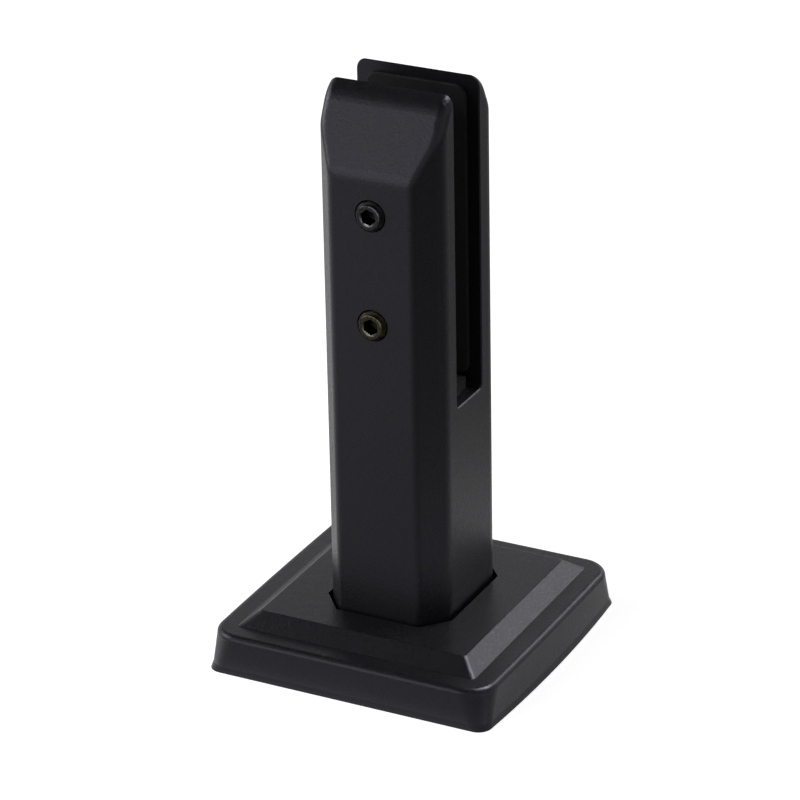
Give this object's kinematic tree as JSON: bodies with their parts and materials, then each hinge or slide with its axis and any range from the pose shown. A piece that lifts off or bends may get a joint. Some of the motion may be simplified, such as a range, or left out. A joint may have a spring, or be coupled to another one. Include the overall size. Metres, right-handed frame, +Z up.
{
  "type": "glass spigot",
  "caption": "Black powder-coated glass spigot: a chamfered slotted post with set screws in the front jaw and a square bevelled cover around its foot.",
  "frame": {"origin": "middle of the foot, on the floor under the anchor plate and the cover", "axes": "+Z up along the post, -Y out of the set-screw face, X along the slot"},
  "size_m": [0.1086, 0.105, 0.2036],
  "materials": {
    "powder_coat": "fine textured satin black powder coat",
    "black_oxide_steel": "black oxide, worn bright on the socket's edge",
    "stainless_steel": "mill finish",
    "black_rubber": "matt"
  },
  "bodies": {
    "spigot": {"spigot_body": "powder_coat", "rear_gasket": "black_rubber", "setting_block": "black_rubber"},
    "cover": {"base_cover": "powder_coat"},
    "clamp": {"pressure_plate": "stainless_steel", "front_gasket": "black_rubber"},
    "upper_screw": {"upper_set_screw": "black_oxide_steel"},
    "lower_screw": {"lower_set_screw": "black_oxide_steel"}
  },
  "joints": [
    {"name": "cover_lift", "type": "slide", "parent": "spigot", "child": "cover", "axis": [0, 0, 1], "range_m": [0, 0.095]},
    {"name": "clamp_slide", "type": "slide", "parent": "spigot", "child": "clamp", "axis": [0, 1, 0], "range_m": [-0.0019, 0.0106]},
    {"name": "upper_screw_turn", "type": "hinge", "parent": "clamp", "child": "upper_screw", "pos_m": [0, -0.01725, 0.1644], "axis": [0, 1, 0], "range_deg": [-457, 2545]},
    {"name": "lower_screw_turn", "type": "hinge", "parent": "clamp", "child": "lower_screw", "pos_m": [0, -0.01725, 0.126], "axis": [0, 1, 0], "range_deg": [-457, 2545]}
  ],
  "couplings": [
    {"joint": "upper_screw_turn", "follows": "clamp_slide", "rad_per_m": 4188.8},
    {"joint": "lower_screw_turn", "follows": "clamp_slide", "rad_per_m": 4188.8}
  ]
}
